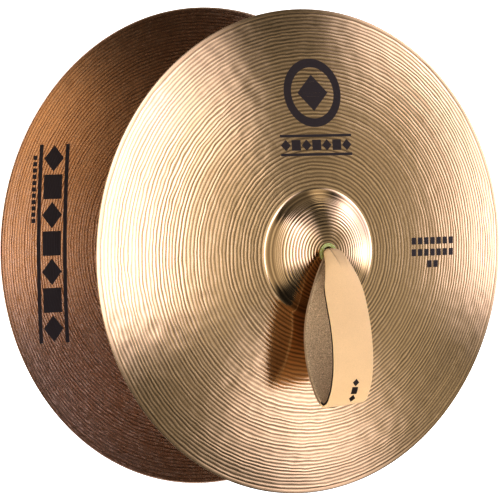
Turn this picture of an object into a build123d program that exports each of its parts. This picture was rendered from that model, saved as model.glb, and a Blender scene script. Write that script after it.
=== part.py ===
from build123d import *
import os
from math import cos, radians, sin, sqrt

# A pair of hand cymbals with leather straps. The two discs share the Y axis and face
# each other: the front disc's bell points to -Y and the rear disc's bell to +Y.
# The origin lies on the axis, midway between the two rim planes. Both straps hang to -Z.
# "Height" below is the distance outward from a disc's own rim plane.

# ---------- driving dimensions, mm ----------

# the pair
rim_spacing = 168.0

# disc
disc_diameter = 457.2  # an 18 inch cymbal
plate_thickness = 1.1
bow_rise = 31.0  # rim plane to the apex of the bow's inner arc
bell_top = 46.7  # rim plane to the apex of the bell's outer arc
bell_radius = 117.6
bell_fillet = 7.0
hole_diameter = 14.0
rim_land = 1.0  # flat ring under the edge

# bush in the hole
bush_bore = 12.0
bush_play = 0.05
flange_diameter = 19.0
flange_thickness = 1.2
flange_round = 0.5
lip_diameter = 16.5
lip_thickness = 0.8

# strap
leather_thickness = 2.0
lining_thickness = 1.5
glue_line = 0.05
strap_width = 43.5
hinge_height = 51.0  # where the neck bends, above the rim plane
bend_room = 6.5  # hinge to the loop's flat end
end_dip = 40.0  # degrees, how far the flat end faces down
end_half_angle = 46.0  # degrees, half of what the flat end spans, seen from the hinge
loop_drop = 143.7  # to the sharp corner that the tip's bend rounds off
tip_bend = 6.0
tip_height = 72.0
belly_front = 91.0
belly_rear = 38.3
belly_front_drop = 94.0
belly_rear_drop = 86.0
shoulder_front = 77.0
shoulder_rear = 47.7
shoulder_drop = 39.0  # full strap width from here down
neck_half_width = 5.5
lining_start = 36.0
cut_margin = 10.0  # how far the cutting block for the width reaches past the belly

# neck, washer and knot
strand_width = 8.0
strand_thickness = 1.85
strand_gap = 0.1
neck_short = 2.0  # the strands end this far below the hinge
washer_diameter = 34.0
washer_hole = 12.8
washer_thickness = 2.5
washer_round = 0.6
washer_play = 0.13
tail_thickness = 2.0
tail_gap = 0.2
tail_offset = 5.6
step_room = 0.5  # level run kept at each side of a tail's step
fold_reach = 12.0
tail_reach = 16.0

# ---------- worked out from them ----------

rim_radius = disc_diameter / 2
land_radius = rim_radius - rim_land
hole_radius = hole_diameter / 2
bow_inner = (land_radius**2 + bow_rise**2) / (2 * bow_rise)
bow_outer = bow_inner + plate_thickness
bow_centre = bow_rise - bow_inner
bell_inner = bell_radius - plate_thickness
bell_centre = bell_top - bell_radius
front_rim = -rim_spacing / 2


def arc_point(radius, centre, r):
    """The point (r, height) of a circle centred on the axis."""
    return (r, centre + sqrt(radius**2 - r**2))


def bell_base(bow, bell):
    """The corner where a bow arc and a bell arc of these radii cross."""
    power_gap = (bell**2 - bell_centre**2) - (bow**2 - bow_centre**2)
    height = power_gap / (2 * (bow_centre - bell_centre))
    return (sqrt(bell**2 - (height - bell_centre) ** 2), height)


def on_arc(radius, centre, start, end):
    """A circle's arc from start to end, drawn through its middle."""
    return ThreePointArc(start, arc_point(radius, centre, (start[0] + end[0]) / 2), end)


# local x runs outward from the axis, local y is height above the front rim plane
radial_plane = Plane(origin=(0, front_rim, 0), x_dir=(1, 0, 0), z_dir=(0, 0, -1))
# local x is height above the front rim plane, local y is +Z
side_plane = Plane(origin=(0, front_rim, 0), x_dir=(0, -1, 0), z_dir=(-1, 0, 0))
# the strap as its wearer sees it, for its outline in width
width_plane = Plane.XZ.offset(-front_rim)

# ---------- front disc ----------

outer_base = bell_base(bow_outer, bell_radius)
inner_base = bell_base(bow_inner, bell_inner)
outer_edge = arc_point(bow_outer, bow_centre, rim_radius)
outer_mouth = arc_point(bell_radius, bell_centre, hole_radius)
inner_mouth = arc_point(bell_inner, bell_centre, hole_radius)

with BuildPart() as front_cymbal:
    with BuildSketch(radial_plane) as disc_section:
        with BuildLine():
            on_arc(bow_outer, bow_centre, outer_edge, outer_base)
            on_arc(bell_radius, bell_centre, outer_base, outer_mouth)
            Line(outer_mouth, inner_mouth)
            on_arc(bell_inner, bell_centre, inner_mouth, inner_base)
            on_arc(bow_inner, bow_centre, inner_base, (land_radius, 0))
            Polyline((land_radius, 0), (rim_radius, 0), outer_edge)
        make_face()
        outer_corner = disc_section.vertices().sort_by_distance(outer_base)[0]
        fillet(outer_corner, bell_fillet)
        inner_corner = disc_section.vertices().sort_by_distance(inner_base)[0]
        fillet(inner_corner, bell_fillet + plate_thickness)
    revolve(axis=Axis.Y)

# The bush is a headed sleeve. Its inner lip snaps behind the plate.
flange_seat = outer_mouth[1] + bush_play
lip_radius = lip_diameter / 2
lip_seat = arc_point(bell_inner, bell_centre, lip_radius)[1] - bush_play
bush_end = lip_seat - lip_thickness
bush_top = flange_seat + flange_thickness
sleeve_radius = hole_radius - bush_play

with BuildPart() as front_hole_bush:
    with BuildSketch(radial_plane) as bush_section:
        with BuildLine():
            Polyline(
                (bush_bore / 2, bush_end),
                (lip_radius, bush_end),
                (lip_radius, lip_seat),
                (sleeve_radius, lip_seat),
                (sleeve_radius, flange_seat),
                (flange_diameter / 2, flange_seat),
                (flange_diameter / 2, bush_top),
                (bush_bore / 2, bush_top),
                close=True,
            )
        make_face()
        flange_edge = bush_section.vertices().group_by(Axis.Y)[-1]
        fillet(flange_edge, flange_round)
    revolve(axis=Axis.Y)

# ---------- front strap ----------

hinge = Vector(hinge_height, 0)
end_reach = bend_room / cos(radians(end_half_angle))
top_front = hinge + Vector(end_reach, 0).rotate(Axis.Z, end_half_angle - end_dip)
top_rear = hinge + Vector(end_reach, 0).rotate(Axis.Z, -end_half_angle - end_dip)
front_shoulder = (shoulder_front, -shoulder_drop)
front_belly = (belly_front, -belly_front_drop)
loop_tip = (tip_height, -loop_drop)
rear_belly = (belly_rear, -belly_rear_drop)
rear_shoulder = (shoulder_rear, -shoulder_drop)


def loop_outline():
    """The strap loop from the side: two bellied arms from a flat end to a sharp tip."""
    front_middle = TangentArc(front_belly, front_shoulder, tangent=(0, 1))
    TangentArc(front_shoulder, top_front, tangent=front_middle % 1)
    Line(top_front, top_rear)
    rear_middle = TangentArc(rear_belly, rear_shoulder, tangent=(0, 1))
    TangentArc(rear_shoulder, top_rear, tangent=rear_middle % 1)
    TangentArc(rear_belly, loop_tip, tangent=(0, -1))
    TangentArc(front_belly, loop_tip, tangent=(0, -1))


def loop_width():
    """The strap from the front: full width at the belly, gathered towards the neck."""
    half = strap_width / 2
    gathered = (neck_half_width, bend_room)
    Polyline(gathered, (half, -shoulder_drop), (half, -loop_drop))
    mirror(about=Plane.YZ)
    Line((-half, -loop_drop), (half, -loop_drop))
    Line((-neck_half_width, bend_room), gathered)


with BuildPart() as front_strap_leather:
    with BuildSketch(width_plane):
        with BuildLine():
            loop_width()
        make_face()
    extrude(amount=belly_front + cut_margin)
    with BuildSketch(side_plane):
        with BuildLine():
            loop_outline()
        loop_face = make_face()
        fillet(loop_face.vertices().sort_by(Axis.Y)[0], tip_bend)
    extrude(amount=strap_width, both=True, mode=Mode.INTERSECT)
    with BuildSketch(side_plane):
        with BuildLine():
            loop_outline()
        make_face()
        loop_face = offset(amount=-leather_thickness, mode=Mode.REPLACE)
        fillet(loop_face.vertices().sort_by(Axis.Y)[0], tip_bend - leather_thickness)
    extrude(amount=strap_width, both=True, mode=Mode.SUBTRACT)

# The lining covers the loop's inside, from just below the mouth to the tip and back.
lining_outside = leather_thickness + glue_line
lining_inside = lining_outside + lining_thickness

with BuildPart() as front_strap_lining:
    with BuildSketch(width_plane):
        with BuildLine():
            loop_width()
        make_face()
    extrude(amount=belly_front + cut_margin)
    with BuildSketch(side_plane):
        with BuildLine():
            loop_outline()
        make_face()
        loop_face = offset(amount=-lining_outside, mode=Mode.REPLACE)
        fillet(loop_face.vertices().sort_by(Axis.Y)[0], tip_bend - lining_outside)
    extrude(amount=strap_width, both=True, mode=Mode.INTERSECT)
    with BuildSketch(side_plane):
        with BuildLine():
            loop_outline()
        make_face()
        loop_face = offset(amount=-lining_inside, mode=Mode.REPLACE)
        fillet(loop_face.vertices().sort_by(Axis.Y)[0], tip_bend - lining_inside)
    extrude(amount=strap_width, both=True, mode=Mode.SUBTRACT)
    split(bisect_by=Plane.XY.offset(-lining_start), keep=Keep.BOTTOM)

# ---------- front neck, washer and knot ----------

washer_top = arc_point(bell_inner, bell_centre, washer_diameter / 2)[1] - washer_play
washer_bottom = washer_top - washer_thickness
fold_level = washer_bottom - tail_gap - tail_thickness / 2
under_level = fold_level - tail_thickness - tail_gap
over_level = under_level - tail_thickness - tail_gap
neck_start = fold_level + tail_thickness / 2 + tail_gap / 2
neck_end = hinge_height - neck_short
strand_pitch = strand_thickness + strand_gap

# four flat strands, side by side through the bush
with BuildPart() as front_strap_neck:
    with BuildSketch(width_plane.offset(neck_start)):
        with GridLocations(0, strand_pitch, 1, 4):
            Rectangle(strand_width, strand_thickness)
    extrude(amount=neck_end - neck_start)

with BuildPart() as front_knot_washer:
    with BuildSketch(width_plane.offset(washer_bottom)):
        Circle(washer_diameter / 2)
        Circle(washer_hole / 2, mode=Mode.SUBTRACT)
    extrude(amount=washer_thickness)
    rounded = front_knot_washer.edges().filter_by(GeomType.CIRCLE).group_by(SortBy.LENGTH)[-1]
    fillet(rounded, washer_round)

# Each tail spreads from the neck, folds back, crosses over one neighbour and under the next.
half_crossing = tail_offset - strand_width / 2
half_step = half_crossing - step_room
fold_middle = (fold_level + over_level) / 2
fold_radius = (fold_level - over_level) / 2

with BuildPart() as front_strap_knot:
    for quarter in range(4):
        turn = radians(90 * quarter)
        along = Vector(cos(turn), 0, sin(turn))
        across = Vector(-sin(turn), 0, cos(turn))
        tail_origin = Vector(0, front_rim, 0) + across * tail_offset
        tail_plane = Plane(origin=tail_origin, x_dir=along, z_dir=along.cross(Vector(0, -1, 0)))
        with BuildSketch(tail_plane):
            with BuildLine():
                Line((-half_crossing, fold_level), (-fold_reach, fold_level))
                ThreePointArc(
                    (-fold_reach, fold_level),
                    (-fold_reach - fold_radius, fold_middle),
                    (-fold_reach, over_level),
                )
                Polyline(
                    (-fold_reach, over_level),
                    (-half_step, over_level),
                    (half_step, under_level),
                    (tail_reach, under_level),
                )
                offset(amount=tail_thickness / 2, side=Side.BOTH)
            make_face()
        extrude(amount=strand_width / 2, both=True)

# ---------- rear side: the front side mirrored ----------

with BuildPart() as rear_cymbal:
    mirror(front_cymbal.part, about=Plane.XZ)
with BuildPart() as rear_hole_bush:
    mirror(front_hole_bush.part, about=Plane.XZ)
with BuildPart() as rear_strap_leather:
    mirror(front_strap_leather.part, about=Plane.XZ)
with BuildPart() as rear_strap_lining:
    mirror(front_strap_lining.part, about=Plane.XZ)
with BuildPart() as rear_strap_neck:
    mirror(front_strap_neck.part, about=Plane.XZ)
with BuildPart() as rear_knot_washer:
    mirror(front_knot_washer.part, about=Plane.XZ)
with BuildPart() as rear_strap_knot:
    mirror(front_strap_knot.part, about=Plane.XZ)

# ---------- labels and files ----------

front_cymbal.part.label = "front_cymbal"
front_hole_bush.part.label = "front_hole_bush"
front_strap_leather.part.label = "front_strap_leather"
front_strap_lining.part.label = "front_strap_lining"
front_strap_neck.part.label = "front_strap_neck"
front_knot_washer.part.label = "front_knot_washer"
front_strap_knot.part.label = "front_strap_knot"
rear_cymbal.part.label = "rear_cymbal"
rear_hole_bush.part.label = "rear_hole_bush"
rear_strap_leather.part.label = "rear_strap_leather"
rear_strap_lining.part.label = "rear_strap_lining"
rear_strap_neck.part.label = "rear_strap_neck"
rear_knot_washer.part.label = "rear_knot_washer"
rear_strap_knot.part.label = "rear_strap_knot"

os.makedirs("parts", exist_ok=True)
export_step(front_cymbal.part, "parts/front_cymbal.step")
export_step(front_hole_bush.part, "parts/front_hole_bush.step")
export_step(front_strap_leather.part, "parts/front_strap_leather.step")
export_step(front_strap_lining.part, "parts/front_strap_lining.step")
export_step(front_strap_neck.part, "parts/front_strap_neck.step")
export_step(front_knot_washer.part, "parts/front_knot_washer.step")
export_step(front_strap_knot.part, "parts/front_strap_knot.step")
export_step(rear_cymbal.part, "parts/rear_cymbal.step")
export_step(rear_hole_bush.part, "parts/rear_hole_bush.step")
export_step(rear_strap_leather.part, "parts/rear_strap_leather.step")
export_step(rear_strap_lining.part, "parts/rear_strap_lining.step")
export_step(rear_strap_neck.part, "parts/rear_strap_neck.step")
export_step(rear_knot_washer.part, "parts/rear_knot_washer.step")
export_step(rear_strap_knot.part, "parts/rear_strap_knot.step")
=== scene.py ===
import math

import bmesh
import bpy
import numpy as np
from mathutils.bvhtree import BVHTree
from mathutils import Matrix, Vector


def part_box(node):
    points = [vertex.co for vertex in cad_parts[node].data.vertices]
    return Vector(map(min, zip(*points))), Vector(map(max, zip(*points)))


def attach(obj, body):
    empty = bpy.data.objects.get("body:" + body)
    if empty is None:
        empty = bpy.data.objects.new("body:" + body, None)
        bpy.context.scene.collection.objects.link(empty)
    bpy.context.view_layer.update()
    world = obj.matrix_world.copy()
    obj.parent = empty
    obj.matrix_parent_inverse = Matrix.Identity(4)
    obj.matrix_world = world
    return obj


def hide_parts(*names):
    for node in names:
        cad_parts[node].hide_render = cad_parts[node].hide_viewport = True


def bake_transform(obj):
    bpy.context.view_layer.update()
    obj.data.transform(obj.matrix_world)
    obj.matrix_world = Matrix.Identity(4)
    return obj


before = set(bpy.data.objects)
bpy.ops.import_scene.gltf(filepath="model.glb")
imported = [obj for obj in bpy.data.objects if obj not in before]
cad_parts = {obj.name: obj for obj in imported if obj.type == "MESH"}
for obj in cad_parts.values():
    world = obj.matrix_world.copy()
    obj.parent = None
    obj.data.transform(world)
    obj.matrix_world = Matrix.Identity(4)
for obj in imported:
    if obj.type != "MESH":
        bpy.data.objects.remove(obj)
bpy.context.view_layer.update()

MM = 0.001

# ---------------------------------------------------------------- sizes, read from the frame

disc_low, disc_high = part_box("front_cymbal")
RIM_RADIUS = disc_high.x
RIM_PLANE = -disc_high.y            # distance of each rim plane from the origin
BELL_TOP = -disc_low.y - RIM_PLANE  # height of the plate at the edge of the hole
bush_low, bush_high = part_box("front_hole_bush")
BUSH_RADIUS = bush_high.x
BUSH_TOP = -bush_low.y - RIM_PLANE
BUSH_END = -bush_high.y - RIM_PLANE
washer_low, washer_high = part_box("front_knot_washer")
WASHER_RADIUS = washer_high.x
WASHER_TOP = -washer_low.y - RIM_PLANE
WASHER_END = -washer_high.y - RIM_PLANE
knot_low, knot_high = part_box("front_strap_knot")
KNOT_TOP = -knot_low.y - RIM_PLANE
KNOT_END = -knot_high.y - RIM_PLANE

# the plate's section, as in the CAD
PLATE = 1.1 * MM
HOLE_RADIUS = 7 * MM
BOW_RISE = 31 * MM
BELL_RADIUS = 117.6 * MM
BELL_FILLET = 7 * MM
BOW_RADIUS = ((RIM_RADIUS - MM) ** 2 + BOW_RISE**2) / (2 * BOW_RISE) + PLATE
BOW_CENTRE = BOW_RISE + PLATE - BOW_RADIUS
BELL_CENTRE = BELL_TOP - math.sqrt(BELL_RADIUS**2 - HOLE_RADIUS**2)

SEGMENTS = 360
SIDES = {"front": -1, "rear": 1}
PLATE_SEEDS = {"front": 3, "rear": 11}
WASHER_SEEDS = {"front": 5, "rear": 4}


def in_row(side, x, height, z):
    """Points of one side, given as x, height above its own rim plane and z, in the row frame."""
    y = SIDES[side] * (RIM_PLANE + height)
    return np.stack(np.broadcast_arrays(x, y, z), axis=-1)


def smooth(t):
    """A soft step from 0 to 1."""
    t = np.clip(t, 0, 1)
    return t * t * (3 - 2 * t)


# ---------------------------------------------------------------- mesh helpers


def grid_piece(name, points, close_u, close_v, flip, caps=False):
    """A mesh from a grid of points, shape (u, v, 3). Closed ways join their ends; caps fill both u ends."""
    nu, nv = points.shape[:2]
    u = np.arange(nu if close_u else nu - 1)
    v = np.arange(nv if close_v else nv - 1)
    uu, vv = np.meshgrid(u, v, indexing="ij")
    un, vn = (uu + 1) % nu, (vv + 1) % nv
    quads = np.stack([uu * nv + vv, uu * nv + vn, un * nv + vn, un * nv + vv], -1).reshape(-1, 4)
    if flip:
        quads = quads[:, ::-1]
    mesh = bpy.data.meshes.new(name)
    mesh.vertices.add(nu * nv)
    mesh.vertices.foreach_set("co", points.reshape(-1).astype(np.float32))
    loops = quads.reshape(-1)
    starts = np.arange(len(quads)) * 4
    if caps:
        first = np.arange(nv)
        last = (nu - 1) * nv + np.arange(nv)
        ends = [first[::-1], last] if not flip else [first, last[::-1]]
        starts = np.append(starts, [len(loops), len(loops) + nv])
        loops = np.concatenate([loops, *ends])
    mesh.loops.add(len(loops))
    mesh.loops.foreach_set("vertex_index", loops.astype(np.int32))
    mesh.polygons.add(len(starts))
    mesh.polygons.foreach_set("loop_start", starts.astype(np.int32))
    mesh.update(calc_edges=True)
    mesh.validate()
    mesh.polygons.foreach_set("use_smooth", np.ones(len(mesh.polygons), bool))
    piece = bpy.data.objects.new(name, mesh)
    bpy.context.scene.collection.objects.link(piece)
    return piece


def point_values(piece, name, values):
    """Stores one number per vertex for the piece's material to read."""
    attribute = piece.data.attributes.new(name, "FLOAT", "POINT")
    attribute.data.foreach_set("value", np.asarray(values, np.float32).reshape(-1))


# ---------------------------------------------------------------- the plate's shape


# the fillet's centre lies one fillet radius off both arcs
wide_bow, wide_bell = BOW_RADIUS + BELL_FILLET, BELL_RADIUS + BELL_FILLET
apart = BELL_CENTRE - BOW_CENTRE
FILLET_HEIGHT = (wide_bow**2 - wide_bell**2 - BOW_CENTRE**2 + BELL_CENTRE**2) / (2 * apart)
FILLET_CENTRE = math.sqrt(wide_bell**2 - (FILLET_HEIGHT - BELL_CENTRE) ** 2)
FILLET_START = FILLET_CENTRE * BELL_RADIUS / wide_bell
FILLET_END = FILLET_CENTRE * BOW_RADIUS / wide_bow


def section(r):
    """Height of the plate's outside at radius r: the bell, the fillet and the bow."""
    bow = BOW_CENTRE + np.sqrt(BOW_RADIUS**2 - r**2)
    bell = BELL_CENTRE + np.sqrt(np.maximum(BELL_RADIUS**2 - r**2, 0))
    fillet = FILLET_HEIGHT - np.sqrt(np.maximum(BELL_FILLET**2 - (r - FILLET_CENTRE) ** 2, 0))
    return np.where(r < FILLET_START, bell, np.where(r > FILLET_END, bow, fillet))


RING_STEP = 9.5  # mm between rings of hammer marks
MARK_STEP = 12   # mm between marks along a ring


def hammer_marks(seed):
    """Centres, widths and depths of the hammer marks, in loose rings over the bow."""
    rng = np.random.default_rng(seed)
    marks = []
    for ring in np.arange(70, 224, RING_STEP):
        count = int(2 * math.pi * ring / MARK_STEP)
        turn = rng.uniform(0, 1)
        for k in range(count):
            angle = 2 * math.pi * (k + turn + rng.uniform(-0.3, 0.3)) / count
            r = ring + rng.uniform(-3, 3)
            width = rng.uniform(3.2, 5.2)
            depth = rng.uniform(0.01, 0.11)
            marks.append((r * math.cos(angle), r * math.sin(angle), width, depth))
    return np.array(marks) * MM


def hammered(marks, x, z):
    """Depth of the hammer marks at x, z and its slope outwards along the radius."""
    depth = np.zeros_like(x)
    slope = np.zeros_like(x)
    radius = np.hypot(x, z)
    angle = np.arctan2(z, x)
    for mx, mz, width, deep in marks:
        reach = 3.2 * width
        near = np.abs(radius - math.hypot(mx, mz)) < reach
        turn = np.abs((angle - math.atan2(mz, mx) + math.pi) % (2 * math.pi) - math.pi)
        near &= turn * radius < reach * 1.1
        dx, dz = x[near] - mx, z[near] - mz
        fall = deep * np.exp(-(dx * dx + dz * dz) / (2 * width * width))
        depth[near] -= fall
        slope[near] += fall * (dx * x[near] + dz * z[near]) / (width * width * radius[near])
    return depth, slope


# radii in mm where one kind of turning ends and the next begins
HOLE_LAND = 10.4
COARSE_END = 45.5
FINE_END = 51.5
BOW_START = 62.2
GROOVES_END = 226.4
RIM_LAND = (227.0, 227.8, 228.3)
# the polished band round the foot of the bell: radius in mm and height on the grooves' wave
BELL_BAND = (
    (54.4, -0.9),
    (54.9, -0.2),
    (55.5, 0.5),
    (56.1, -0.2),
    (56.6, -0.9),
    (57.4, -0.9),
    (58.2, -0.7),
    (59.0, -0.2),
    (59.6, 0.3),
    (60.2, 0.6),
    (60.8, 0.6),
    (61.4, 0.3),
)


def groove_rings(r, pitch, swing):
    """The four mesh rings of one groove: a wide crest, a narrow valley and the two slopes between them."""
    return [(r, swing), (r + 0.3 * pitch, 0), (r + 0.5 * pitch, -swing), (r + 0.7 * pitch, 0)]


def lathe_rings(seed):
    """Radii of the mesh rings, four to a lathe groove, with each ring's place on the groove's wave."""
    rng = np.random.default_rng(seed)
    rings = [(r, 0) for r in (HOLE_RADIUS / MM, 7.4, 8.6, 9.8)]
    r = HOLE_LAND
    while r < COARSE_END:
        pitch = 3.1 * rng.uniform(0.93, 1.07)
        rings += groove_rings(r, pitch, rng.uniform(1.2, 1.8))
        r += pitch
    while r < FINE_END:
        rings += [(r, 0.5), (r + 0.45, 0), (r + 0.8, -0.5), (r + 1.15, 0)]
        r += 1.4
    rings += [(r + 0.2, -0.4), (r + 1.0, -0.9), *BELL_BAND]
    r = BOW_START
    while r < GROOVES_END - 0.8:
        base = 3.65 if r < 120 else 3.4 if r < 170 else 3.3
        pitch = base * rng.uniform(0.88, 1.12)
        rings += groove_rings(r, pitch, rng.uniform(0.55, 1.35))
        r += pitch
    while rings[-1][0] > GROOVES_END:
        rings.pop()
    rings += [(r, 0) for r in RIM_LAND]
    radius, wave = np.array(rings).T
    return radius * MM, wave


GROOVE_DEPTH = 0.062 * MM
INSIDE_GROOVE = 0.6    # share of that depth on the inside
GROOVE_SWAY = 44 * MM  # how far a hammered slope moves a groove's line
RIM_ROUND = 0.12 * MM


def make_plate(side, seed):
    """One disc: outside and inside, lathed in rings and hammered through."""
    radius, wave = lathe_rings(seed)
    marks = hammer_marks(seed + 1)
    angle = np.linspace(0, 2 * math.pi, SEGMENTS, endpoint=False)
    r, a = np.meshgrid(radius, angle, indexing="ij")
    depth, slope = hammered(marks, r * np.cos(a), r * np.sin(a))
    free = smooth((r - 60 * MM) / (6 * MM)) * smooth((227 * MM - r) / (5 * MM))
    r = r + slope * GROOVE_SWAY * free
    wave_grid = np.repeat(wave[:, None], SEGMENTS, axis=1)
    outside = section(r) + depth * free + GROOVE_DEPTH * wave_grid
    lean = np.gradient(section(radius), radius)[:, None]
    thin = PLATE / np.sqrt(1 + lean**2)
    inner_r = r + thin * lean
    inside = section(r) - thin + depth * free - INSIDE_GROOVE * GROOVE_DEPTH * wave_grid
    inner_r = np.minimum(inner_r, RIM_RADIUS)
    rim_height = section(RIM_RADIUS)
    edge_r = np.array([RIM_RADIUS - RIM_ROUND, RIM_RADIUS, RIM_RADIUS, RIM_RADIUS - RIM_ROUND])
    edge_h = np.array([rim_height, rim_height - 0.15 * MM, RIM_ROUND, 0.0])
    ones = np.ones((1, SEGMENTS))
    loop_r = np.concatenate([r, edge_r[:, None] * ones, inner_r[::-1][1:]])
    loop_h = np.concatenate([outside, edge_h[:, None] * ones, np.maximum(inside[::-1][1:], 0)])
    loop_a = np.concatenate([a, np.repeat(angle[None], 4, 0), a[1:]])
    points = in_row(side, loop_r * np.cos(loop_a), loop_h, loop_r * np.sin(loop_a))
    piece = grid_piece(f"{side}_plate", points, True, True, side == "front")
    still = np.zeros((4, SEGMENTS))
    point_values(piece, "groove", np.concatenate([wave_grid, still, wave_grid[::-1][1:]]))
    point_values(piece, "inside", np.concatenate([r * 0, still + 0.5, r[1:] * 0 + 1]))
    return piece


# ---------------------------------------------------------------- material helpers


class Nodes:
    """A small helper for building a material's node tree."""

    def __init__(self, name):
        self.material = bpy.data.materials.new(name)
        self.material.use_nodes = True
        self.tree = self.material.node_tree
        self.tree.nodes.clear()
        self.out = self.add("ShaderNodeOutputMaterial")
        self.shader = self.add("ShaderNodeBsdfPrincipled")
        self.link(self.shader.outputs[0], self.out.inputs["Surface"])

    def add(self, kind, **settings):
        node = self.tree.nodes.new(kind)
        for key, value in settings.items():
            setattr(node, key, value)
        return node

    def link(self, output, socket):
        self.tree.links.new(output, socket)

    def put(self, value, socket):
        if isinstance(value, bpy.types.NodeSocket):
            self.link(value, socket)
        elif isinstance(value, (tuple, list)) and len(value) == 3 and socket.type == "RGBA":
            socket.default_value = (*value, 1)
        else:
            socket.default_value = value

    def set(self, **inputs):
        for key, value in inputs.items():
            self.put(value, self.shader.inputs[key.replace("_", " ")])

    def math(self, operation, a, b=0.0, c=0.0, clamp=False):
        node = self.add("ShaderNodeMath", operation=operation, use_clamp=clamp)
        for socket, value in zip(node.inputs, (a, b, c)):
            self.put(value, socket)
        return node.outputs[0]

    def span(self, value, low, high, to_low=0.0, to_high=1.0, kind="LINEAR"):
        node = self.add("ShaderNodeMapRange", interpolation_type=kind)
        for key, v in zip(("Value", "From Min", "From Max", "To Min", "To Max"),
                          (value, low, high, to_low, to_high)):
            self.put(v, node.inputs[key])
        return node.outputs[0]

    def mix(self, share, a, b, blend="MIX"):
        node = self.add("ShaderNodeMix", data_type="RGBA", blend_type=blend)
        self.put(share, node.inputs[0])
        self.put(a, node.inputs[6])
        self.put(b, node.inputs[7])
        return node.outputs[2]

    def place(self):
        return self.add("ShaderNodeTexCoord").outputs["Object"]

    def noise(self, vector, scale, detail=3.0, rough=0.5):
        node = self.add("ShaderNodeTexNoise")
        self.link(vector, node.inputs["Vector"])
        node.inputs["Scale"].default_value = scale
        node.inputs["Detail"].default_value = detail
        node.inputs["Roughness"].default_value = rough
        return node.outputs["Fac"]

    def attribute(self, name):
        return self.add("ShaderNodeAttribute", attribute_name=name).outputs["Fac"]

    def bump(self, height, strength, distance, normal=None):
        node = self.add("ShaderNodeBump")
        node.inputs["Strength"].default_value = strength
        node.inputs["Distance"].default_value = distance
        self.link(height, node.inputs["Height"])
        if normal is not None:
            self.link(normal, node.inputs["Normal"])
        return node.outputs["Normal"]

    def around_axis(self, rate):
        """A vector that runs with the radius from the Y axis and hardly changes around it."""
        parts = self.add("ShaderNodeSeparateXYZ")
        self.link(self.place(), parts.inputs[0])
        flat = self.add("ShaderNodeCombineXYZ")
        self.link(parts.outputs[0], flat.inputs[0])
        self.link(parts.outputs[2], flat.inputs[2])
        length = self.add("ShaderNodeVectorMath", operation="LENGTH")
        self.link(flat.outputs[0], length.inputs[0])
        unit = self.add("ShaderNodeVectorMath", operation="NORMALIZE")
        self.link(flat.outputs[0], unit.inputs[0])
        sides = self.add("ShaderNodeSeparateXYZ")
        self.link(unit.outputs[0], sides.inputs[0])
        joined = self.add("ShaderNodeCombineXYZ")
        self.link(self.math("MULTIPLY", length.outputs["Value"], rate), joined.inputs[0])
        self.link(self.math("MULTIPLY", sides.outputs[0], 0.03), joined.inputs[1])
        self.link(self.math("MULTIPLY", sides.outputs[2], 0.03), joined.inputs[2])
        return joined.outputs[0], length.outputs["Value"]


def bronze():
    """Lathed cast bronze: pale crests, brown valleys, fine turning lines and a duller inside, painted darker
    and redder as shade between the discs.
    """
    n = Nodes("bronze_lathed")
    rings, radius = n.around_axis(1.0)
    groove = n.attribute("groove")
    inside = n.attribute("inside")
    crest = n.span(groove, -1.0, 1.0)
    fine = n.noise(rings, 900.0, 2.0, 0.6)
    band = n.noise(rings, 60.0, 3.0, 0.6)
    patch = n.noise(n.place(), 9.0, 4.0, 0.55)
    valley = n.mix(band, (0.30, 0.20, 0.105), (0.41, 0.285, 0.155))
    land = n.mix(fine, (0.96, 0.66, 0.37), (1.0, 0.755, 0.455))
    outside_colour = n.mix(crest, valley, land)
    # painted shade: the inside is coloured darker and redder than the outside, for the shade between the two
    # discs
    shaded_inside_colour = n.mix(n.span(crest, 0.1, 0.6), (0.30, 0.165, 0.085), (0.80, 0.60, 0.42))
    colour = n.mix(inside, outside_colour, shaded_inside_colour)
    colour = n.mix(n.span(patch, 0.45, 0.75, 0.0, 0.25), colour, (0.55, 0.36, 0.18))
    colour = n.mix(n.span(radius, 0.057, 0.062, 0.22, 0.0), colour, (0.12, 0.07, 0.03))
    n.set(Base_Color=colour, Metallic=1.0)
    satin = n.span(fine, 0.3, 0.7, 0.13, 0.22)
    polish = n.span(radius, 0.061, 0.064, 0.72, 1.0)
    dull = n.math("ADD", polish, n.math("MULTIPLY", inside, 0.35))
    n.set(Roughness=n.math("MULTIPLY", satin, dull))
    n.set(Anisotropic=0.45, Anisotropic_Rotation=0.25)
    tangent = n.add("ShaderNodeTangent", direction_type="RADIAL", axis="Y")
    n.link(tangent.outputs[0], n.shader.inputs["Tangent"])
    lines = n.bump(fine, 0.2, 0.00005)
    n.set(Normal=n.bump(n.noise(n.place(), 500.0, 2.0), 0.025, 0.0001, lines))
    return n.material


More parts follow.
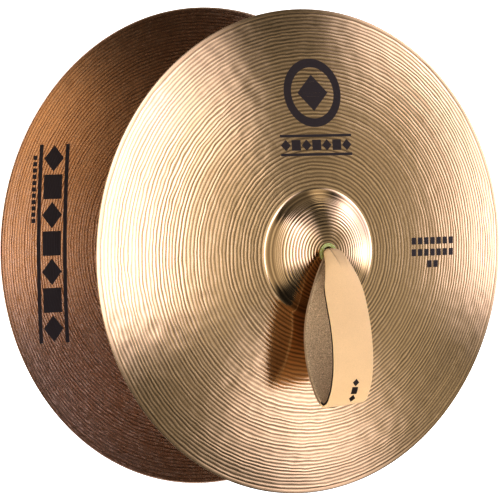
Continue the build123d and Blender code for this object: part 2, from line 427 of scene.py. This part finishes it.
def hide(name, face, back_and_shade, edge, grain, speckle, downward_shade=0.0):
    """Leather of a face, back and cut edge colour, a grain per metre, a speckle and a painted shade, lighter
    above and darker downwards; the back colour is also painted as shade in creases and on shaded cut edges.
    """
    n = Nodes(name)
    place = n.place()
    broad = n.noise(place, 28.0, 3.0, 0.6)
    fine = n.noise(place, grain, 4.0, 0.7)
    tone = n.span(fine, 0.3, 0.7, 1.0 - speckle, 1.0 + speckle)
    parts = n.add("ShaderNodeSeparateXYZ")
    n.link(place, parts.inputs[0])
    # painted shade: the leather is lighter above and darker towards the bottom
    tone = n.math("MULTIPLY", tone, n.span(parts.outputs[2], -0.14, -0.02, 1.0 - downward_shade, 1.0 + downward_shade))
    # the back colour covers the leather's back side and also serves as painted shade in creases and on shaded
    # cut edges
    body = n.mix(n.attribute("back_and_shade"), face, back_and_shade)
    body = n.mix(n.span(broad, 0.35, 0.7, 0.0, 0.35), body, tuple(c * 0.86 for c in face))
    grey = n.add("ShaderNodeCombineColor")
    for k in range(3):
        n.link(tone, grey.inputs[k])
    body = n.mix(1.0, body, grey.outputs[0], "MULTIPLY")
    colour = n.mix(n.attribute("edge"), body, edge)
    n.set(Base_Color=colour, Roughness=n.span(fine, 0.3, 0.7, 0.5, 0.66))
    n.set(Sheen_Weight=0.12, Sheen_Roughness=0.4)
    pores = n.add("ShaderNodeTexVoronoi")
    n.link(place, pores.inputs["Vector"])
    pores.inputs["Scale"].default_value = grain * 0.8
    n.set(Normal=n.bump(fine, 0.3, 0.00015, n.bump(pores.outputs["Distance"], 0.2, 0.00012)))
    return n.material


def suede():
    """The lining's nap: grey-brown, mottled, with a dark cut edge."""
    n = Nodes("suede_nap")
    place = n.place()
    fibre = n.noise(place, 1000.0, 4.0, 0.8)
    clump = n.noise(place, 420.0, 3.0, 0.6)
    nap = n.mix(n.span(fibre, 0.36, 0.64), (0.26, 0.19, 0.125), (0.86, 0.68, 0.45))
    nap = n.mix(n.span(clump, 0.35, 0.65, 0.0, 0.35), nap, (0.52, 0.37, 0.23))
    edge = n.attribute("edge")
    n.set(Base_Color=n.mix(edge, nap, (0.035, 0.026, 0.022)))
    n.set(Roughness=0.95, Sheen_Weight=n.span(edge, 0, 1, 0.12, 0), Sheen_Roughness=0.6)
    n.set(Sheen_Tint=(0.8, 0.66, 0.5), Specular_IOR_Level=0.15)
    n.set(Normal=n.bump(fibre, 0.6, 0.0003))
    return n.material


def nylon():
    """Clear yellow-green plastic, a little cloudy."""
    n = Nodes("nylon_translucent")
    haze = n.noise(n.place(), 300.0, 2.0)
    n.set(Base_Color=n.mix(haze, (0.62, 0.66, 0.22), (0.80, 0.82, 0.45)))
    n.set(Roughness=n.span(haze, 0.3, 0.7, 0.16, 0.28), IOR=1.53, Transmission_Weight=0.35)
    n.set(Subsurface_Weight=0.3, Subsurface_Radius=(0.002, 0.002, 0.001), Subsurface_Scale=1.0)
    n.set(Normal=n.bump(haze, 0.1, 0.0001))
    return n.material


def ink():
    """Flat black print, slightly worn."""
    n = Nodes("ink_black")
    wear = n.noise(n.place(), 500.0, 4.0, 0.7)
    n.set(Base_Color=n.mix(n.span(wear, 0.62, 0.8, 0.0, 0.5), (0.030, 0.016, 0.010), (0.14, 0.085, 0.045)))
    n.set(Roughness=n.span(wear, 0.3, 0.7, 0.42, 0.6))
    n.set(Normal=n.bump(wear, 0.15, 0.00005))
    return n.material


BRONZE = bronze()
TAN = hide("leather_tan", (0.76, 0.535, 0.295), (0.36, 0.255, 0.165), (0.90, 0.67, 0.39), 900.0, 0.05, 0.09)
STRAND = hide("leather_strand", (0.62, 0.38, 0.19), (0.50, 0.31, 0.16), (0.76, 0.50, 0.28), 1100.0, 0.07)
PAD = hide("leather_pad", (0.50, 0.31, 0.17), (0.42, 0.27, 0.15), (0.62, 0.42, 0.25), 800.0, 0.09)
SUEDE = suede()
NYLON = nylon()
INK = ink()

# ---------------------------------------------------------------- discs

plates = {}
for side in SIDES:
    plate = make_plate(side, PLATE_SEEDS[side])
    plate.data.materials.append(BRONZE)
    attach(plate, f"{side}_disc")
    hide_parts(f"{side}_cymbal")
    plates[side] = plate


# ---------------------------------------------------------------- bush and washer


def lathe(name, side, profile, sway=0.0, seed=0, teeth=96):
    """A ring turned from a closed profile of (radius, height), both in mm; sway roughens its outline."""
    rng = np.random.default_rng(seed)
    angle = np.linspace(0, 2 * math.pi, teeth, endpoint=False)
    wobble = sum(rng.normal() * np.cos(k * angle + rng.uniform(0, 6.3)) / k for k in range(2, 9))
    rows = np.array(profile) * MM
    r = rows[:, :1] + sway * MM * wobble[None] * (rows[:, :1] / rows[:, 0].max()) ** 4
    points = in_row(side, r * np.cos(angle), rows[:, 1:] + 0 * r, r * np.sin(angle))
    return grid_piece(name, points, True, True, side == "front")


def corner(r, height, radius, start, steps=5):
    """A quarter round about the point (r, height), from the start angle in degrees, clockwise."""
    turns = np.radians(np.linspace(start, start - 90, steps))
    return [(r + radius * math.cos(t), height + radius * math.sin(t)) for t in turns]


def bush_profile():
    """The bush's section in mm: a flange outside, a thin sleeve and a lip that snaps behind the plate."""
    outer, top, end = BUSH_RADIUS / MM, BUSH_TOP / MM, BUSH_END / MM
    bore, sleeve, lip = 6.0, 6.95, 8.25
    thick, lip_thick, soft = 1.2, 0.8, 0.45
    return [
        *corner(bore + soft, top - soft, soft, 180),
        *corner(outer - soft, top - soft, soft, 90),
        *corner(outer - 0.2, top - thick + 0.2, 0.2, 0, 3),
        (sleeve, top - thick),
        (sleeve, end + lip_thick),
        *corner(lip - 0.25, end + lip_thick - 0.25, 0.25, 90, 3),
        *corner(lip - 0.25, end + 0.25, 0.25, 0, 3),
        *corner(bore + 0.3, end + 0.3, 0.3, -90, 3),
    ]


def washer_profile():
    """The leather washer's section in mm: rounded rims and a slightly dished face against the bell."""
    outer, top, end = WASHER_RADIUS / MM, WASHER_TOP / MM, WASHER_END / MM
    hole, soft = 6.4, 0.9
    dish = [(r, top - 0.25 * math.sin(math.pi * (r - hole) / (outer - hole))) for r in (9.0, 11.5, 14.0)]
    return [
        *corner(hole + soft, top - soft, soft, 180),
        *dish,
        *corner(outer - soft, top - soft, soft, 90),
        *corner(outer - soft, end + soft, soft, 0),
        *corner(hole + soft, end + soft, soft, -90),
    ]


for side in SIDES:
    bush = lathe(f"{side}_bush", side, bush_profile())
    bush.data.materials.append(NYLON)
    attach(bush, f"{side}_disc")
    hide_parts(f"{side}_hole_bush")
    washer = lathe(f"{side}_washer", side, washer_profile(), 0.22, WASHER_SEEDS[side], 144)
    washer.data.materials.append(PAD)
    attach(washer, f"{side}_knot_group")
    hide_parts(f"{side}_knot_washer")


# ---------------------------------------------------------------- strap


def flow(knots, count):
    """A smooth curve of count rows through the knots, evenly spaced along its first two columns."""
    knots = np.array(knots, float)
    step = np.hypot(*np.diff(knots[:, :2], axis=0).T)
    at = np.concatenate([[0], np.cumsum(step)])
    slope = np.gradient(knots, at, axis=0)
    place = np.linspace(0, at[-1], count)
    i = np.clip(np.searchsorted(at, place) - 1, 0, len(step) - 1)
    h = step[i][:, None]
    f = ((place - at[i]) / step[i])[:, None]
    start, end = (1 + 2 * f) * (1 - f) ** 2, f * f * (3 - 2 * f)
    leave, arrive = f * (1 - f) ** 2 * h, f * f * (f - 1) * h
    return start * knots[i] + leave * slope[i] + end * knots[i + 1] + arrive * slope[i + 1]


# The strap's edge, from the hole down the outer arm, round the tip and back up the inner arm, in mm:
# height above the rim plane, z, half width, and how far the middle bows out from the edge (height, z).
STRAP_COURSE = (
    (44.0, 0.2, 4.5, 0.0, 4.3),
    (49.0, 0.9, 5.6, 0.4, 4.2),
    (53.3, 1.1, 9.6, 1.4, 3.9),
    (58.9, -4.4, 12.4, 2.6, 2.9),
    (63.1, -9.9, 14.5, 2.6, 1.7),
    (67.1, -16.9, 17.0, 2.0, 0.8),
    (73.1, -30.9, 20.6, 1.3, 0.3),
    (79.6, -48.0, 21.7, 1.0, 0.1),
    (86.0, -68.0, 21.75, 0.8, 0.0),
    (89.6, -90.0, 21.75, 0.7, 0.0),
    (89.4, -112.0, 21.75, 0.6, 0.0),
    (84.0, -130.5, 21.75, 0.4, -0.2),
    (77.8, -139.3, 21.75, 0.2, -0.3),
    (71.2, -141.8, 21.75, 0.0, -0.4),
    (64.6, -138.4, 21.75, -0.2, -0.3),
    (50.8, -121.5, 21.75, -0.4, -0.1),
    (41.2, -100.0, 21.75, -0.6, 0.0),
    (37.9, -78.0, 21.75, -0.7, 0.0),
    (41.0, -57.0, 21.75, -0.8, 0.0),
    (47.7, -38.0, 21.0, -1.0, 0.1),
    (51.2, -25.0, 18.8, -1.4, 0.0),
    (52.6, -13.5, 14.6, -2.0, -0.3),
    (52.4, -6.0, 10.6, -2.2, -1.6),
    (49.6, -1.6, 6.0, -0.5, -3.6),
    (44.0, -0.6, 4.5, 0.0, -4.3),
)
LEATHER_THICK = 2.2 * MM
LINING_THICK = 2.0 * MM
TIP_LIFT = 0.09  # the far side of the tip hangs a little higher than the near side
CREASE_DEPTH = 1.5 * MM
OUTER_ARM = 0.53  # share of the course up to the tip; only the cut edges of this arm are pale, the inner arm's cut edges are painted with the dark back colour as shade


def strap_sheet(name, side, first, last, outer, inner, trim, rows, columns):
    """One layer of the strap between two depths below its outer face, over part of its course."""
    course = flow(STRAP_COURSE, rows) * MM
    height, z, half, bow_h, bow_z = (course[:, k : k + 1] for k in range(5))
    u = np.sin(np.linspace(-math.pi / 2, math.pi / 2, columns))[None]
    x = u * (half - trim)
    round_top = smooth((z + 30 * MM) / (25 * MM))
    flat, full = 1 - u**2, np.sqrt(np.maximum(1 - u**2, 0))
    arch = flat * (1 - round_top) + full * round_top
    h = height + bow_h * arch
    zz = z + bow_z * arch + TIP_LIFT * x * smooth((-z - 75 * MM) / (60 * MM))
    rows_at = np.linspace(0, 1, rows)[:, None]
    on_front = smooth((0.45 - rows_at) * 20)
    centre = -4.0 * MM + (4.8 * MM) * smooth((4 * MM - z) / (20 * MM))
    gathered = on_front * smooth((z + 17 * MM) / (14 * MM))
    crease = gathered * (
        np.exp(-(((x - centre) / (0.45 * MM)) ** 2)) + 0.3 * smooth((x - centre) / (1.2 * MM)) * (x < 9 * MM)
    )
    middle = np.stack(np.broadcast_arrays(x, h, zz), -1)
    along = np.gradient(middle, axis=0)
    across = np.gradient(middle, axis=1)
    normal = np.cross(across, along)
    normal /= np.linalg.norm(normal, axis=-1, keepdims=True)
    if normal[rows // 4, columns // 2, 1] < 0:
        normal = -normal
    middle = middle - normal * (CREASE_DEPTH * crease)[..., None]
    keep = slice(int(first * (rows - 1)), int(last * (rows - 1)) + 1)
    middle, normal, across = middle[keep], normal[keep], across[keep]
    side_way = across[:, [0, -1]] / np.linalg.norm(across[:, [0, -1]], axis=-1, keepdims=True)
    bevel = 0.22 * MM
    top, low = middle - normal * outer, middle - normal * inner
    left, right = -side_way[:, 0], side_way[:, 1]

    def rim(k, way, depth):
        return middle[:, k] - normal[:, k] * depth + way * bevel

    loop = [
        top,
        rim(-1, right, outer + bevel)[:, None],
        rim(-1, right, inner - bevel)[:, None],
        low[:, ::-1],
        rim(0, left, inner - bevel)[:, None],
        rim(0, left, outer + bevel)[:, None],
    ]
    points = np.concatenate(loop, 1)
    points = in_row(side, points[..., 0], points[..., 1], points[..., 2])
    piece = grid_piece(name, points, False, True, side == "front", caps=True)
    shape = points.shape[:2]
    edge = np.zeros(shape)
    edge[:, [columns, columns + 1, -1, -2]] = rows_at[keep] < OUTER_ARM
    back_and_shade = np.zeros(shape)
    # painted shade: the top face is darkened along the crease, on top of the crease's real dip
    back_and_shade[:, :columns] = 0.9 * crease[keep]
    # painted shade: the inner arm's cut edges take the dark back colour
    back_and_shade[:, columns:] = rows_at[keep] >= OUTER_ARM
    back_and_shade[:, columns + 2 : -2] = 1
    point_values(piece, "edge", edge)
    point_values(piece, "back_and_shade", back_and_shade)
    return piece


def make_strap(side):
    """The leather loop and its lining."""
    rows, columns = ((420, 57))
    start = in_row(side, 0.0, 60 * MM, -14 * MM)
    end = in_row(side, 0.0, 47.5 * MM, 0.0)
    skin = 0.05 * MM
    strap = strap_sheet(f"{side}_strap", side, 0, 1, 0, LEATHER_THICK, 0, rows, columns)
    strap.data.materials.append(TAN)
    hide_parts(f"{side}_strap_leather")
    inner = LEATHER_THICK + skin + LINING_THICK
    lining = strap_sheet(
        f"{side}_lining", side, 0.045, 0.962, LEATHER_THICK + skin, inner, 0.15 * MM, rows, columns
    )
    lining.data.materials.append(SUEDE)
    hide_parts(f"{side}_strap_lining")
    for piece in (strap, lining):
        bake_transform(piece)
    return strap


straps = {side: make_strap(side) for side in SIDES}


# ---------------------------------------------------------------- neck strands and knot


def ribbon(name, side, course, turn, shift, width, thick, ends):
    """A flat leather strand: course gives (distance along, height) in mm, turn and shift place it."""
    path = np.array(course) * MM
    count = len(path)
    along = np.gradient(path, axis=0)
    along /= np.linalg.norm(along, axis=1, keepdims=True)
    up = np.stack([-along[:, 1], along[:, 0]], 1)
    corners = np.linspace(0, 2 * math.pi, 28, endpoint=False)
    squared = 0.55
    cross_w = np.sign(np.cos(corners)) * np.abs(np.cos(corners)) ** squared * width / 2
    cross_t = np.sign(np.sin(corners)) * np.abs(np.sin(corners)) ** squared * thick / 2
    share = np.linspace(0, 1, count)
    taper = 1 - ends * smooth((share - 0.86) / 0.14)[:, None] * 0.75
    wide = cross_w[None] * taper
    s = path[:, :1] + up[:, :1] * cross_t[None]
    h = path[:, 1:] + up[:, 1:] * cross_t[None]
    c, d = math.cos(turn), math.sin(turn)
    side_way = shift + wide
    points = in_row(side, c * s - d * side_way, h, d * s + c * side_way)
    piece = grid_piece(name, points, False, True, side == "rear", caps=True)
    edge = np.broadcast_to(np.abs(np.cos(corners)) ** 6, points.shape[:2])
    point_values(piece, "edge", edge)
    point_values(piece, "back_and_shade", np.broadcast_to(np.sin(corners) < 0, points.shape[:2]))
    return piece


def join(name, pieces):
    """Makes one object of several meshes."""
    bpy.ops.object.select_all(action="DESELECT")
    for piece in pieces:
        piece.select_set(True)
    bpy.context.view_layer.objects.active = pieces[0]
    bpy.ops.object.join()
    pieces[0].name = name
    pieces[0].data.name = name
    return pieces[0]


def tail_course():
    """One tail of the knot from the side, in mm: out of the neck, folded back, over, under and free."""
    fold = KNOT_TOP / MM - 1.0
    over = KNOT_END / MM + 1.0
    under = (fold + over) / 2
    knots = (
        (-1.2, fold + 0.2),
        (-6.0, fold),
        (-11.5, fold - 0.1),
        (-14.2, (fold + over) / 2),
        (-11.5, over + 0.1),
        (-6.5, over - 0.35),
        (-3.0, over - 0.2),
        (0.0, under - 0.6),
        (3.0, under + 0.1),
        (7.0, under + 0.1),
        (13.0, under - 0.2),
        (18.0, under - 1.4),
        (22.0, under - 3.2),
    )
    return flow(knots, 90)


def make_knot(side):
    """The four strands in the hole and the four tails that they end in."""
    tails = []
    for quarter in range(4):
        turn = math.radians(90 * quarter)
        tail = ribbon(f"{side}_tail", side, tail_course(), turn, 5.6 * MM, 8.2 * MM, 1.9 * MM, 1)
        tails.append(tail)
    knot = join(f"{side}_knot", tails)
    knot.data.materials.append(STRAND)
    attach(knot, f"{side}_knot_group")
    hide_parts(f"{side}_strap_knot")
    strands = []
    start, end = KNOT_TOP / MM - 0.6, 47.0
    for k in range(4):
        place = (k - 1.5) * 1.95
        course = flow([(place, start), (place, (start + end) / 2), (place * 0.9, end)], 24)
        strands.append(ribbon(f"{side}_strand", side, course, math.pi / 2, 0.0, 7.6 * MM, 1.8 * MM, 0))
    neck = join(f"{side}_neck", strands)
    neck.data.materials.append(STRAND)
    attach(neck, f"{side}_knot_group")
    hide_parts(f"{side}_strap_neck")


for side in SIDES:
    make_knot(side)


# ---------------------------------------------------------------- printed marks


def block(x, z, wide, tall, turn=0.0):
    """A filled rectangle as a grid of points, centred at x, z, in mm."""
    u = np.linspace(-wide / 2, wide / 2, max(2, int(wide / 1.1) + 1))
    v = np.linspace(-tall / 2, tall / 2, max(2, int(tall / 1.1) + 1))
    uu, vv = np.meshgrid(u, v, indexing="ij")
    c, s = math.cos(turn), math.sin(turn)
    return np.stack([x + c * uu - s * vv, z + s * uu + c * vv], -1), False


def hoop(x, z, inner, outer):
    """A filled ring, or a disc when inner is nearly nothing, as a closed grid of points, in mm."""
    turns = np.linspace(0, 2 * math.pi, max(24, int(outer * 6)), endpoint=False)
    r = np.linspace(inner, outer, max(2, int((outer - inner) / 1.1) + 1))
    tt, rr = np.meshgrid(turns, r, indexing="ij")
    return np.stack([x + rr * np.cos(tt), z + rr * np.sin(tt)], -1), True


def print_marks(name, piece, body, shapes, start, way):
    """Lays flat shapes on a piece as a film of ink, cast from y = start along y the given way."""
    tree = BVHTree.FromPolygons(
        [v.co for v in piece.data.vertices], [tuple(p.vertices) for p in piece.data.polygons]
    )
    film, sunk = 0.05 * MM, 0.12 * MM
    slabs = []
    for grid, closed in shapes:
        rows, columns = grid.shape[:2]
        spots = grid.reshape(-1, 2) * MM
        level = [tree.ray_cast((x, start, z), (0, way, 0))[0].y for x, z in spots]
        level = np.array(level)
        skins = []
        for lift in (film, -sunk):
            points = np.stack([spots[:, 0], level - way * lift, spots[:, 1]], 1)
            skins.append(points.reshape(rows, columns, 3))
        slabs.append(slab(name, *skins, closed))
    marks = join(name, slabs)
    marks.data.materials.append(INK)
    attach(marks, body)
    return marks


def slab(name, top, low, closed):
    """A thin closed body between two grids; closed means that the rows join up in a ring."""
    rows, columns = top.shape[:2]
    mesh = bmesh.new()
    upper = [[mesh.verts.new(p) for p in row] for row in top]
    lower = [[mesh.verts.new(p) for p in row] for row in low]
    steps = rows if closed else rows - 1
    for i in range(steps):
        a, b = i, (i + 1) % rows
        for j in range(columns - 1):
            mesh.faces.new((upper[a][j], upper[b][j], upper[b][j + 1], upper[a][j + 1]))
            mesh.faces.new((lower[a][j + 1], lower[b][j + 1], lower[b][j], lower[a][j]))
        mesh.faces.new((upper[a][0], lower[a][0], lower[b][0], upper[b][0]))
        mesh.faces.new((upper[b][-1], lower[b][-1], lower[a][-1], upper[a][-1]))
    if not closed:
        for j in range(columns - 1):
            mesh.faces.new((upper[0][j + 1], lower[0][j + 1], lower[0][j], upper[0][j]))
            mesh.faces.new((upper[-1][j], lower[-1][j], lower[-1][j + 1], upper[-1][j + 1]))
    bmesh.ops.recalc_face_normals(mesh, faces=mesh.faces)
    data = bpy.data.meshes.new(name)
    mesh.to_mesh(data)
    mesh.free()
    piece = bpy.data.objects.new(name, data)
    bpy.context.scene.collection.objects.link(piece)
    return piece


def beads(x, z, step, tall, upright=False):
    """A row of plain squares on edge and on their points, by turns. Upright runs it along z instead of x."""
    shapes = []
    for k in range(-3, 4):
        px, pz = (x, z + k * step) if upright else (x + k * step, z)
        turn = math.radians(45) if k % 2 else 0.0
        side = min(step * 0.86, tall * 0.7) * (0.76 if k % 2 else 1)
        shapes.append(block(px, pz, side, side, turn))
    rail = (tall * 0.12, step * 7) if upright else (step * 7, tall * 0.12)
    for way in (-1, 1):
        off = way * tall * 0.44
        shapes.append(block(x + off, z, *rail) if upright else block(x, z + off, *rail))
    return shapes


OUTSIDE = 0.3  # further out than any piece

emblem = [
    hoop(1.0, 150.0, 24.0, 32.0),
    block(1.0, 150.0, 24.0, 24.0, math.radians(45)),
    *beads(1.0, 101.0, 11.5, 20.0),
]
print_marks("front_emblem", plates["front"], "front_disc", emblem, -OUTSIDE, 1)
lines = []
for row, count in enumerate((7, 7, 2)):
    for k in range(count):
        lines.append(block(137 + (k - (count - 1) / 2) * 8.0, 8 - row * 11.0, 5.6, 6.5))
print_marks("front_size_mark", plates["front"], "front_disc", lines, -OUTSIDE, 1)
print_marks("rear_wordmark", plates["rear"], "rear_disc", beads(-162.0, 5.0, 27.0, 38.0, True), 0.0, 1)
tiny = [block(-186.0, 57 - k * 6.0, 5.0, 4.0) for k in range(-5, 6)]
print_marks("rear_small_mark", plates["rear"], "rear_disc", tiny, 0.0, 1)
for side, way in (("front", 1), ("rear", -1)):
    stamp = beads(3.5, -127.5, 7.6, 11.0, True)[2:5]
    print_marks(f"{side}_strap_mark", straps[side], f"{side}_strap_grip", stamp, -OUTSIDE * way, way)

# ---------------------------------------------------------------- floor, light and camera


# Lights round the object, in degrees. Azimuth runs from -Y towards +X, elevation from the floor up.
# Each is: centre azimuth, half width, centre elevation, half height, soft border, light.
FLASH_HEADS = (
    (3, 8, 7, 20, 5, 2.7),
    (17, 7, 20, 9, 5, 1.2),
    (31, 7, -18, 7, 5, 1.45),
    (43, 8, -24, 6, 5, 1.35),
    (78, 20, 10, 18, 5, 2.2),
    (62, 17, 24, 8, 6, 1.5),
)
FILLS = (
    (50, 12, 46, 9, 8, 1.4),
    (78, 12, -22, 7, 5, 1.3),
    (-18, 15, -2, 30, 6, 1.05),
    (17, 6, 2, 13, 5, 0.6),
    (85, 9, -5, 7, 5, 2.0),
    (134, 11, -9, 14, 5, 2.25),
    (35, 26, -3, 25, 8, 0.34),
    (47, 9, -3, 17, 6, 0.2),
    (10, 30, 50, 14, 8, 0.35),
    (-60, 24, -16, 26, 10, 1.0),
    (-68, 36, 38, 24, 14, 0.8),
    (178, 22, 4, 30, 10, 1.5),
    (-120, 16, 2, 28, 10, 1.7),
    (90, 180, 88, 22, 12, 0.8),
    (90, 180, -88, 26, 10, 0.6),
)
DARK = 0.09  # light between them
COOL = 0.45  # a flash head's extra blue, against the daylight of the fills


class WorldNodes:
    """A small helper for sums in the world's node tree."""

    def __init__(self, tree):
        self.tree = tree

    def math(self, operation, a, b=0.0, c=0.0):
        node = self.tree.nodes.new("ShaderNodeMath")
        node.operation = operation
        for socket, value in zip(node.inputs, (a, b, c)):
            if isinstance(value, bpy.types.NodeSocket):
                self.tree.links.new(value, socket)
            else:
                socket.default_value = value
        return node.outputs[0]

    def window(self, value, half, soft):
        """1 within half of zero, 0 beyond, with a soft border."""
        node = self.tree.nodes.new("ShaderNodeMapRange")
        node.interpolation_type = "SMOOTHSTEP"
        node.inputs["From Min"].default_value = half + soft
        node.inputs["From Max"].default_value = max(half - soft, 0)
        self.tree.links.new(self.math("ABSOLUTE", value), node.inputs["Value"])
        return node.outputs[0]


def studio():
    """Soft boxes and dark gaps drawn in the world; the camera itself sees plain white."""
    world = bpy.data.worlds.new("studio")
    bpy.context.scene.world = world
    world.use_nodes = True
    tree = world.node_tree
    tree.nodes.clear()
    n = WorldNodes(tree)
    direction = tree.nodes.new("ShaderNodeTexCoord").outputs["Generated"]
    parts = tree.nodes.new("ShaderNodeSeparateXYZ")
    tree.links.new(direction, parts.inputs[0])
    x, y, z = parts.outputs
    azimuth = n.math("DEGREES", n.math("ARCTAN2", x, n.math("MULTIPLY", y, -1.0)))
    elevation = n.math("DEGREES", n.math("ARCSINE", z))
    sums = []
    for lights in (FLASH_HEADS, FILLS):
        total = 0.0
        for turn, half_width, height, half_height, soft, strength in lights:
            across = n.window(n.math("WRAP", n.math("SUBTRACT", azimuth, turn), 180, -180), half_width, soft)
            upward = n.window(n.math("SUBTRACT", elevation, height), half_height, soft)
            glow = n.math("MULTIPLY", n.math("MULTIPLY", across, upward), strength)
            total = n.math("ADD", total, glow)
        sums.append(total)
    flash, fill = sums
    light = n.math("ADD", n.math("ADD", flash, fill), DARK)
    colour = tree.nodes.new("ShaderNodeCombineXYZ")
    for socket, share in zip(colour.inputs, (0.0, 0.04, COOL)):
        tree.links.new(n.math("ADD", light, n.math("MULTIPLY", flash, share)), socket)
    ray = tree.nodes.new("ShaderNodeLightPath")
    seen = tree.nodes.new("ShaderNodeMix")
    seen.data_type = "RGBA"
    tree.links.new(ray.outputs["Is Camera Ray"], seen.inputs[0])
    tree.links.new(colour.outputs[0], seen.inputs[6])
    seen.inputs[7].default_value = (1, 1, 1, 1)
    background = tree.nodes.new("ShaderNodeBackground")
    tree.links.new(seen.outputs[2], background.inputs["Color"])
    out = tree.nodes.new("ShaderNodeOutputWorld")
    tree.links.new(background.outputs[0], out.inputs["Surface"])


def floor():
    """A plain pale floor that doesn't show in the metal."""
    bpy.ops.mesh.primitive_plane_add(size=160, location=(0, 0, -RIM_RADIUS - 40 * MM))
    plane = bpy.context.object
    plane.name = "floor"
    n = Nodes("floor_white")
    n.set(Base_Color=(0.9, 0.9, 0.9), Roughness=0.9, Emission_Color=(1, 1, 1), Emission_Strength=1.1)
    plane.data.materials.append(n.material)
    plane.visible_glossy = False


def camera():
    """A long lens, level with the axis, to the left of the front disc."""
    distance, a, e = 8.0, math.radians(-33.45), math.radians(2.31)
    away = np.array([math.sin(a) * math.cos(e), -math.cos(a) * math.cos(e), math.sin(e)])
    data = bpy.data.cameras.new("camera")
    data.sensor_width = 36
    data.lens = 605.1
    data.shift_x = -0.0028
    data.shift_y = -0.0032
    data.clip_start, data.clip_end = 0.1, 200
    view = bpy.data.objects.new("camera", data)
    bpy.context.scene.collection.objects.link(view)
    view.location = away * distance
    view.rotation_mode = "QUATERNION"
    view.rotation_quaternion = (-view.location).to_track_quat("-Z", "Y")
    bpy.context.scene.camera = view


studio()
floor()
camera()
bpy.context.scene.view_settings.view_transform = "Standard"
bpy.context.scene.view_settings.gamma = 0.7
